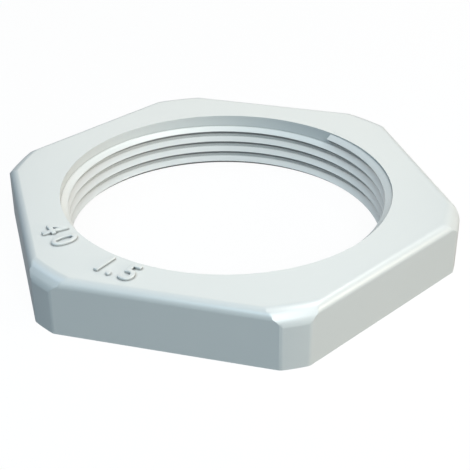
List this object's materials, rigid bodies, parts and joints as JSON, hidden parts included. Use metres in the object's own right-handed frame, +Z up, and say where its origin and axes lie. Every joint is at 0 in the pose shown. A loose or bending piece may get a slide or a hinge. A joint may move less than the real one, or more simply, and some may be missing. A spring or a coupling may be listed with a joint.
{
  "type": "cable gland locknut",
  "caption": "Flat hexagon locknut of light grey moulded plastic for a cable gland, with rounded corners, a fine internal thread and small raised numerals.",
  "frame": {"origin": "On the nut's axis, in the plane of its flat underside.", "axes": "Z runs up along the nut's axis to the face with the numerals, X runs through two opposite corners, and Y runs square through two opposite flats."},
  "size_m": [0.056, 0.05, 0.0073],
  "materials": {
    "light_grey_polyamide": "moulded polyamide in light grey with a silk gloss"
  },
  "bodies": {
    "root": {"locknut": "light_grey_polyamide"}
  },
  "joints": []
}
